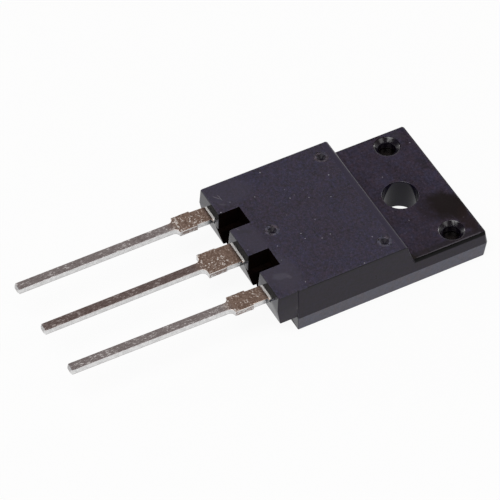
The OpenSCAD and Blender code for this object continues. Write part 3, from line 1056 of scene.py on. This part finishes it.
@dataclass
class LeadRow:
    """The three leads in a row, each with its own small bends."""

    sizes: LeadSizes = LeadSizes()
    finish: TinFinish = TinFinish()

    def build(self) -> list[bpy.types.Object]:
        """Makes the three leads.

        Returns:
            The leads from the base to the emitter.
        """
        material = self.finish.build()
        pitch = self.sizes.pitch
        leads = (
            Lead("base_lead", "lead_base", -pitch, 1.7, 1.95, lift=0.2, tip_rise=-0.02, seed=1),
            Lead("collector_frame", "lead_collector", 0.0, 2.45, 2.6, lift=0.14, tip_rise=0.0, seed=2),
            Lead("emitter_lead", "lead_emitter", pitch, 1.7, 1.95, lift=0.09, tip_rise=0.22, seed=3),
        )
        return [lead.build(material) for lead in leads]


@dataclass
class Chip:
    """The chip with its solder and wires, closed in by the moulding."""

    finishes: dict[str, HiddenFinish] = field(default_factory=lambda: {
        "silicon_die": HiddenFinish("polished_silicon", (0.22, 0.23, 0.27), 0.6, 0.2, 0.4),
        "die_solder": HiddenFinish("soft_solder", (0.45, 0.45, 0.46), 1.0, 0.5, 0.15),
        "base_wire": HiddenFinish("thin_wire", (0.8, 0.8, 0.82), 1.0, 0.3, 0.05),
        "emitter_wire_inner": HiddenFinish("thick_wire", (0.8, 0.8, 0.82), 1.0, 0.32, 0.08),
        "emitter_wire_outer": HiddenFinish("thick_wire_outer", (0.8, 0.8, 0.82), 1.0, 0.32, 0.08),
    })

    def build(self) -> None:
        """Gives each hidden node its finish."""
        for node, finish in self.finishes.items():
            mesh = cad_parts[node].data
            mesh.materials.clear()
            mesh.materials.append(finish.build())
            LOG.info("%s keeps its shape and gets %s", node, finish.name)


@dataclass(frozen=True)
class Lamp:
    """A soft square lamp that looks at the middle of the part, with its lengths in metres."""

    name: str
    azimuth: float
    height: float
    distance: float
    size: float
    level: float
    colour: Colour = WHITE

    def build(self, target: Vector) -> None:
        """Hangs the lamp.

        Args:
            target: the point that it looks at, in metres.
        """
        a, h = math.radians(self.azimuth), math.radians(self.height)
        aim = Vector((math.cos(h) * math.cos(a), math.cos(h) * math.sin(a), math.sin(h)))
        data = bpy.data.lights.new(self.name, "AREA")
        data.shape = "SQUARE"
        data.size = self.size
        data.color = self.colour
        data.energy = self.level * math.pi ** 2 * self.distance ** 2
        lamp = bpy.data.objects.new(self.name, data)
        lamp.location = target + aim * self.distance
        lamp.rotation_euler = aim.to_track_quat("Z", "Y").to_euler()
        bpy.context.scene.collection.objects.link(lamp)


@dataclass
class Studio:
    """Floor, lamps, world and camera."""

    target: tuple[float, float, float] = (-1.558, -15.004, 2.0)
    azimuth: float = -28.158
    height: float = 47.812
    roll: float = 0.167
    distance: float = 319.75
    lens: float = 249.73
    floor_size: float = 1500.0
    floor_drop: float = 0.02
    floor_colour: Colour = (0.9, 0.9, 0.9)
    camera_share: float = 0.93
    gloss_share: float = 0.6
    horizon: Colour = (0.9, 0.9, 0.9)
    pale_ceiling: Colour = (0.21, 0.185, 0.175)
    dark_ceiling: Colour = (0.09, 0.08, 0.08)
    lamps: tuple[Lamp, ...] = (
        Lamp("key_lamp", -60, 68, 0.6, 0.36, 0.54),
        Lamp("back_lamp", 107, 22, 0.6, 0.11, 0.13),
        Lamp("left_lamp", -163, 22, 0.6, 0.11, 0.10),
        Lamp("edge_lamp", 36, 46, 0.6, 0.25, 0.10),
    )

    def floor(self) -> None:
        """Lays the pale floor, which shows white to the camera and in gloss but keeps a shadow."""
        bm = bmesh.new()
        lowered = Matrix.Translation((0, 0, -self.floor_drop * MM))
        bmesh.ops.create_circle(bm, cap_ends=True, segments=96, radius=self.floor_size * MM, matrix=lowered)
        mesh = bpy.data.meshes.new("floor")
        bm.to_mesh(mesh)
        bm.free()
        m = Material("floor_white")
        rays = m.node("ShaderNodeLightPath")
        seen = Signal(m, rays.outputs["Is Camera Ray"]) * self.camera_share
        through = Signal(m, rays.outputs["Is Transmission Ray"])
        mirrored = Signal(m, rays.outputs["Is Glossy Ray"]).larger(through) * self.gloss_share
        mottle = m.noise(m.object_place(), 30.0, 2.0)
        colour = m.blend(mottle, tuple(c * 0.985 for c in self.floor_colour), self.floor_colour)
        plain = m.take("ShaderNodeBsdfDiffuse", {}, {"Color": colour})
        glow = m.take("ShaderNodeEmission", {}, {"Color": WHITE, "Strength": 1.0})
        shader = m.take("ShaderNodeMixShader", {}, {0: seen.larger(mirrored), 1: plain, 2: glow})
        mesh.materials.append(m.finish(shader))
        floor = bpy.data.objects.new("floor", mesh)
        bpy.context.scene.collection.objects.link(floor)

    def world(self) -> None:
        """Makes the room: white to the camera, pale at the horizon and dim above."""
        world = bpy.data.worlds.new("studio")
        world.use_nodes = True
        bpy.context.scene.world = world
        g = Graph(world.node_tree)
        rays = g.node("ShaderNodeLightPath")
        direction = g.take("ShaderNodeTexCoord", output="Generated")
        parts = g.node("ShaderNodeSeparateXYZ", {}, {0: direction})
        y, up = Signal(g, parts.outputs[1]), Signal(g, parts.outputs[2])
        ceiling = g.blend(y.rise(0.15, -0.15), self.pale_ceiling, self.dark_ceiling)
        room = g.blend(up.rise(0.1, 0.5), self.horizon, ceiling)
        colour = g.blend(Signal(g, rays.outputs["Is Camera Ray"]), room, WHITE)
        sky = g.take("ShaderNodeBackground", {}, {"Color": colour, "Strength": 1.0})
        g.node("ShaderNodeOutputWorld", {}, {"Surface": sky})

    def camera(self) -> None:
        """Stands the camera where the photograph was taken from."""
        a, h = math.radians(self.azimuth), math.radians(self.height)
        back = Vector((math.cos(h) * math.cos(a), math.cos(h) * math.sin(a), math.sin(h)))
        right = Vector((0, 0, 1)).cross(back).normalized()
        turned = Matrix.Rotation(math.radians(self.roll), 3, back)
        right = turned @ right
        up = back.cross(right)
        data = bpy.data.cameras.new("camera")
        data.sensor_width = 36.0
        data.lens = self.lens
        data.clip_start = 0.01
        camera = bpy.data.objects.new("camera", data)
        turn = Matrix((right, up, back)).transposed().to_4x4()
        camera.matrix_world = Matrix.Translation((Vector(self.target) + back * self.distance) * MM) @ turn
        bpy.context.scene.collection.objects.link(camera)
        bpy.context.scene.camera = camera

    def build(self) -> None:
        """Sets up the whole studio."""
        bpy.context.scene.view_settings.view_transform = "Standard"
        self.floor()
        self.world()
        self.camera()
        for lamp in self.lamps:
            lamp.build(Vector(self.target) * MM)


def main() -> None:
    """Builds the part's pieces and the studio in order."""
    logging.basicConfig(level=logging.INFO, format="%(name)s: %(message)s")
    Moulding().build()
    LeadRow().build()
    Chip().build()
    Studio().build()


if __name__ == "__main__":
    main()
